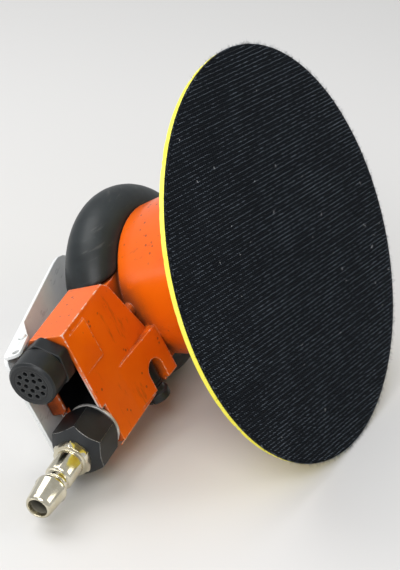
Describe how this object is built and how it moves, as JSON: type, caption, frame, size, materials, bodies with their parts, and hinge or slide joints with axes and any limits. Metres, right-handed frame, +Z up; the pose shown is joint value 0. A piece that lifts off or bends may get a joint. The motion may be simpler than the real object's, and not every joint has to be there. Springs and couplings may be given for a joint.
{
  "type": "orbital sander",
  "caption": "Palm-grip air sander with a round hook-and-loop pad, side handle, throttle lever, exhaust muffler and quick-connect air plug.",
  "frame": {"origin": "on the motor's axis, in the plane of the pad's sanding face", "axes": "+Z up the motor's axis from the sanding face towards the palm grip; the handle with its air inlet points to -X; +Y is the side of the air inlet and the regulator knob"},
  "size_m": [0.2296, 0.18, 0.1093],
  "materials": {
    "orange_paint": "gloss",
    "grip_rubber": "satin",
    "black_plastic": "satin",
    "hook_nylon": "matt",
    "pad_foam": "matt",
    "backing_fibre": "matt",
    "bright_steel": "satin",
    "lever_steel": "satin",
    "plug_nickel": "polished",
    "endplate_alloy": "satin",
    "brass": "satin",
    "vane_phenolic": "matt",
    "muffler_felt": "matt",
    "washer_zinc": "satin"
  },
  "bodies": {
    "housing": {"motor_housing": "orange_paint", "rubber_grip": "grip_rubber", "motor_cylinder": "bright_steel", "upper_endplate": "endplate_alloy", "lower_endplate": "endplate_alloy", "upper_bearing_outer_race": "bright_steel", "upper_bearing_cage": "brass", "lower_bearing_outer_race": "bright_steel", "lower_bearing_cage": "brass", "upper_dowel": "bright_steel", "lower_dowel": "bright_steel", "lock_ring": "bright_steel", "motor_o_ring": "grip_rubber", "muffler_body": "black_plastic", "muffler_cap": "black_plastic", "muffler_felt": "muffler_felt", "inlet_washer": "washer_zinc", "inlet_bushing": "black_plastic", "inlet_screen": "bright_steel", "air_plug": "plug_nickel", "lever_pin": "bright_steel", "valve_seal": "grip_rubber", "valve_spring": "bright_steel"},
    "shaft": {"shaft_balancer": "bright_steel", "rotor": "bright_steel", "rotor_key": "bright_steel", "upper_bearing_inner_race": "bright_steel", "lower_bearing_inner_race": "bright_steel", "shaft_snap_ring": "bright_steel", "spindle_lock_ring": "bright_steel", "spindle_bearing_outer_race": "bright_steel", "spindle_bearing_cage": "brass"},
    "pad": {"spindle": "bright_steel", "spindle_bearing_inner_race": "bright_steel", "spindle_snap_ring": "bright_steel", "pad_stud": "bright_steel", "backing_plate": "backing_fibre", "pad_foam": "pad_foam", "hook_face": "hook_nylon"},
    "lever": {"throttle_lever": "lever_steel"},
    "valve": {"valve_stem": "brass"},
    "regulator": {"regulator_knob": "black_plastic", "regulator_o_ring": "grip_rubber"},
    "vane_1": {"vane_1": "vane_phenolic"},
    "vane_2": {"vane_2": "vane_phenolic"},
    "vane_3": {"vane_3": "vane_phenolic"},
    "vane_4": {"vane_4": "vane_phenolic"},
    "vane_5": {"vane_5": "vane_phenolic"}
  },
  "joints": [
    {"name": "shaft_spin", "type": "hinge", "parent": "housing", "child": "shaft", "pos_m": [0, 0, 0.06], "axis": [0, 0, 1], "continuous": true},
    {"name": "pad_spin", "type": "hinge", "parent": "shaft", "child": "pad", "pos_m": [0.00125, 0, 0], "axis": [0, 0, 1], "continuous": true},
    {"name": "lever_press", "type": "hinge", "parent": "housing", "child": "lever", "pos_m": [-0.0828, 0, 0.0808], "axis": [0, 1, 0], "range_deg": [0, 4.5], "stiffness_Nm_per_rad": 2, "springref_deg": -5.73},
    {"name": "valve_press", "type": "slide", "parent": "housing", "child": "valve", "axis": [0, 0, -1], "range_m": [0, 0.0018], "deforming": ["valve_spring"]},
    {"name": "regulator_turn", "type": "hinge", "parent": "housing", "child": "regulator", "pos_m": [-0.0466, 0, 0.062], "axis": [0, 1, 0], "range_deg": [0, 180]},
    {"name": "vane_1_slide", "type": "slide", "parent": "shaft", "child": "vane_1", "axis": [0.809, 0.5878, 0], "range_m": [0, 0.0003]},
    {"name": "vane_2_slide", "type": "slide", "parent": "shaft", "child": "vane_2", "axis": [-0.309, 0.9511, 0], "range_m": [0, 0.0003]},
    {"name": "vane_3_slide", "type": "slide", "parent": "shaft", "child": "vane_3", "axis": [-1, 0, 0], "range_m": [0, 0.0003]},
    {"name": "vane_4_slide", "type": "slide", "parent": "shaft", "child": "vane_4", "axis": [-0.309, -0.9511, 0], "range_m": [0, 0.0003]},
    {"name": "vane_5_slide", "type": "slide", "parent": "shaft", "child": "vane_5", "axis": [0.809, -0.5878, 0], "range_m": [0, 0.0003]}
  ],
  "couplings": [
    {"joint": "valve_press", "follows": "lever_press", "m_per_rad": 0.0215}
  ]
}
